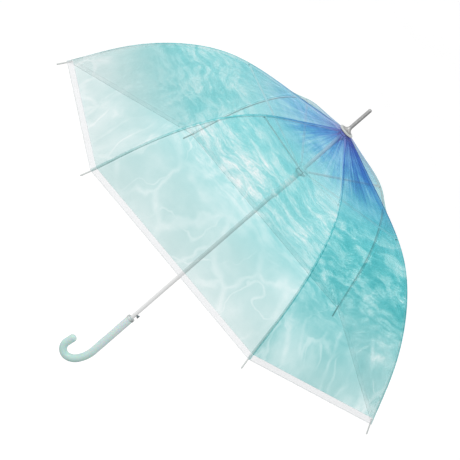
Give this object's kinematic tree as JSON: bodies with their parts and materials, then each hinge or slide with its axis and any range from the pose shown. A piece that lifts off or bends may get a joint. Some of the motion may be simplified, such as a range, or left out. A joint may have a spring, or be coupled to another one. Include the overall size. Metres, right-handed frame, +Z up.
{
  "type": "clear bubble umbrella",
  "caption": "Deep dome stick umbrella with a clear printed film canopy, spring-opened folding rib frame, long-sleeved runner and crook handle.",
  "frame": {"origin": "on the shaft axis at the middle of the straight grip", "axes": "+Z up the shaft to the ferrule, +X along the rib opposite the crook's free end, through the button"},
  "size_m": [0.9674, 0.8382, 0.8139],
  "materials": {
    "film": "clear printed film",
    "frame_white": "white lacquer",
    "white_plastic": "moulded",
    "mint_plastic": "slightly translucent",
    "chrome": "polished",
    "nickel": "nickel plated",
    "dark_metal": "satin",
    "steel": "bright wire"
  },
  "bodies": {
    "shaft": {"shaft_tube": "frame_white", "ferrule": "nickel", "crown_washer": "white_plastic", "inner_washer": "white_plastic", "top_notch": "white_plastic", "top_notch_wire": "steel", "jump_spring": "steel", "spring_seat": "steel", "button_spring": "steel", "handle": "mint_plastic", "handle_collar": "chrome"},
    "runner": {"runner": "white_plastic", "runner_wire": "steel", "runner_pin": "steel"},
    "button": {"release_button": "dark_metal"},
    "rib_1": {"rib_1": "frame_white", "rib_pin_1": "steel", "film_inner_1": "film"},
    "outer_1": {"rib_outer_1": "frame_white", "rib_tip_1": "white_plastic", "film_outer_1": "film"},
    "stretcher_1": {"stretcher_1": "frame_white"},
    "rib_2": {"rib_2": "frame_white", "rib_pin_2": "steel", "film_inner_2": "film"},
    "outer_2": {"rib_outer_2": "frame_white", "rib_tip_2": "white_plastic", "film_outer_2": "film"},
    "stretcher_2": {"stretcher_2": "frame_white"},
    "rib_3": {"rib_3": "frame_white", "rib_pin_3": "steel", "film_inner_3": "film"},
    "outer_3": {"rib_outer_3": "frame_white", "rib_tip_3": "white_plastic", "film_outer_3": "film"},
    "stretcher_3": {"stretcher_3": "frame_white"},
    "rib_4": {"rib_4": "frame_white", "rib_pin_4": "steel", "film_inner_4": "film"},
    "outer_4": {"rib_outer_4": "frame_white", "rib_tip_4": "white_plastic", "film_outer_4": "film"},
    "stretcher_4": {"stretcher_4": "frame_white"},
    "rib_5": {"rib_5": "frame_white", "rib_pin_5": "steel", "film_inner_5": "film"},
    "outer_5": {"rib_outer_5": "frame_white", "rib_tip_5": "white_plastic", "film_outer_5": "film"},
    "stretcher_5": {"stretcher_5": "frame_white"},
    "rib_6": {"rib_6": "frame_white", "rib_pin_6": "steel", "film_inner_6": "film"},
    "outer_6": {"rib_outer_6": "frame_white", "rib_tip_6": "white_plastic", "film_outer_6": "film"},
    "stretcher_6": {"stretcher_6": "frame_white"}
  },
  "joints": [
    {"name": "fold", "type": "hinge", "parent": "shaft", "child": "rib_1", "pos_m": [0.012, 0, 0.637], "axis": [0, 1, 0], "range_deg": [0, 71], "stiffness_Nm_per_rad": 1, "springref_deg": -171.89, "deforming": ["film_inner_1", "jump_spring"]},
    {"name": "rib_flex_1", "type": "hinge", "parent": "rib_1", "child": "outer_1", "pos_m": [0.227, 0, 0.5817], "axis": [0, 1, 0], "range_deg": [-35.5, 0], "deforming": ["film_outer_1"]},
    {"name": "elbow_1", "type": "hinge", "parent": "rib_1", "child": "stretcher_1", "pos_m": [0.227, 0, 0.5817], "axis": [0, 1, 0], "range_deg": [-142, 0]},
    {"name": "rib_fold_2", "type": "hinge", "parent": "shaft", "child": "rib_2", "pos_m": [0.006, 0.01039, 0.637], "axis": [-0.866, 0.5, 0], "range_deg": [0, 71], "deforming": ["film_inner_2"]},
    {"name": "rib_flex_2", "type": "hinge", "parent": "rib_2", "child": "outer_2", "pos_m": [0.1135, 0.19659, 0.5817], "axis": [-0.866, 0.5, 0], "range_deg": [-35.5, 0], "deforming": ["film_outer_2"]},
    {"name": "elbow_2", "type": "hinge", "parent": "rib_2", "child": "stretcher_2", "pos_m": [0.1135, 0.19659, 0.5817], "axis": [-0.866, 0.5, 0], "range_deg": [-142, 0]},
    {"name": "rib_fold_3", "type": "hinge", "parent": "shaft", "child": "rib_3", "pos_m": [-0.006, 0.01039, 0.637], "axis": [-0.866, -0.5, 0], "range_deg": [0, 71], "deforming": ["film_inner_3"]},
    {"name": "rib_flex_3", "type": "hinge", "parent": "rib_3", "child": "outer_3", "pos_m": [-0.1135, 0.19659, 0.5817], "axis": [-0.866, -0.5, 0], "range_deg": [-35.5, 0], "deforming": ["film_outer_3"]},
    {"name": "elbow_3", "type": "hinge", "parent": "rib_3", "child": "stretcher_3", "pos_m": [-0.1135, 0.19659, 0.5817], "axis": [-0.866, -0.5, 0], "range_deg": [-142, 0]},
    {"name": "rib_fold_4", "type": "hinge", "parent": "shaft", "child": "rib_4", "pos_m": [-0.012, 0, 0.637], "axis": [0, -1, 0], "range_deg": [0, 71], "deforming": ["film_inner_4"]},
    {"name": "rib_flex_4", "type": "hinge", "parent": "rib_4", "child": "outer_4", "pos_m": [-0.227, 0, 0.5817], "axis": [0, -1, 0], "range_deg": [-35.5, 0], "deforming": ["film_outer_4"]},
    {"name": "elbow_4", "type": "hinge", "parent": "rib_4", "child": "stretcher_4", "pos_m": [-0.227, 0, 0.5817], "axis": [0, -1, 0], "range_deg": [-142, 0]},
    {"name": "rib_fold_5", "type": "hinge", "parent": "shaft", "child": "rib_5", "pos_m": [-0.006, -0.01039, 0.637], "axis": [0.866, -0.5, 0], "range_deg": [0, 71], "deforming": ["film_inner_5"]},
    {"name": "rib_flex_5", "type": "hinge", "parent": "rib_5", "child": "outer_5", "pos_m": [-0.1135, -0.19659, 0.5817], "axis": [0.866, -0.5, 0], "range_deg": [-35.5, 0], "deforming": ["film_outer_5"]},
    {"name": "elbow_5", "type": "hinge", "parent": "rib_5", "child": "stretcher_5", "pos_m": [-0.1135, -0.19659, 0.5817], "axis": [0.866, -0.5, 0], "range_deg": [-142, 0]},
    {"name": "rib_fold_6", "type": "hinge", "parent": "shaft", "child": "rib_6", "pos_m": [0.006, -0.01039, 0.637], "axis": [0.866, 0.5, 0], "range_deg": [0, 71], "deforming": ["film_inner_6"]},
    {"name": "rib_flex_6", "type": "hinge", "parent": "rib_6", "child": "outer_6", "pos_m": [0.1135, -0.19659, 0.5817], "axis": [0.866, 0.5, 0], "range_deg": [-35.5, 0], "deforming": ["film_outer_6"]},
    {"name": "elbow_6", "type": "hinge", "parent": "rib_6", "child": "stretcher_6", "pos_m": [0.1135, -0.19659, 0.5817], "axis": [0.866, 0.5, 0], "range_deg": [-142, 0]},
    {"name": "runner_travel", "type": "hinge", "parent": "stretcher_1", "child": "runner", "pos_m": [0.012, 0, 0.5264], "axis": [0, 1, 0], "range_deg": [0, 71]},
    {"name": "button_press", "type": "slide", "parent": "shaft", "child": "button", "axis": [-1, 0, 0], "range_m": [0, 0.002], "stiffness_N_per_m": 600, "springref_m": -0.002, "deforming": ["button_spring"]}
  ],
  "couplings": [
    {"joint": "rib_flex_1", "follows": "fold", "ratio": -0.5},
    {"joint": "elbow_1", "follows": "fold", "ratio": -2},
    {"joint": "rib_fold_2", "follows": "fold", "ratio": 1},
    {"joint": "rib_flex_2", "follows": "fold", "ratio": -0.5},
    {"joint": "elbow_2", "follows": "fold", "ratio": -2},
    {"joint": "rib_fold_3", "follows": "fold", "ratio": 1},
    {"joint": "rib_flex_3", "follows": "fold", "ratio": -0.5},
    {"joint": "elbow_3", "follows": "fold", "ratio": -2},
    {"joint": "rib_fold_4", "follows": "fold", "ratio": 1},
    {"joint": "rib_flex_4", "follows": "fold", "ratio": -0.5},
    {"joint": "elbow_4", "follows": "fold", "ratio": -2},
    {"joint": "rib_fold_5", "follows": "fold", "ratio": 1},
    {"joint": "rib_flex_5", "follows": "fold", "ratio": -0.5},
    {"joint": "elbow_5", "follows": "fold", "ratio": -2},
    {"joint": "rib_fold_6", "follows": "fold", "ratio": 1},
    {"joint": "rib_flex_6", "follows": "fold", "ratio": -0.5},
    {"joint": "elbow_6", "follows": "fold", "ratio": -2},
    {"joint": "runner_travel", "follows": "fold", "ratio": 1}
  ]
}
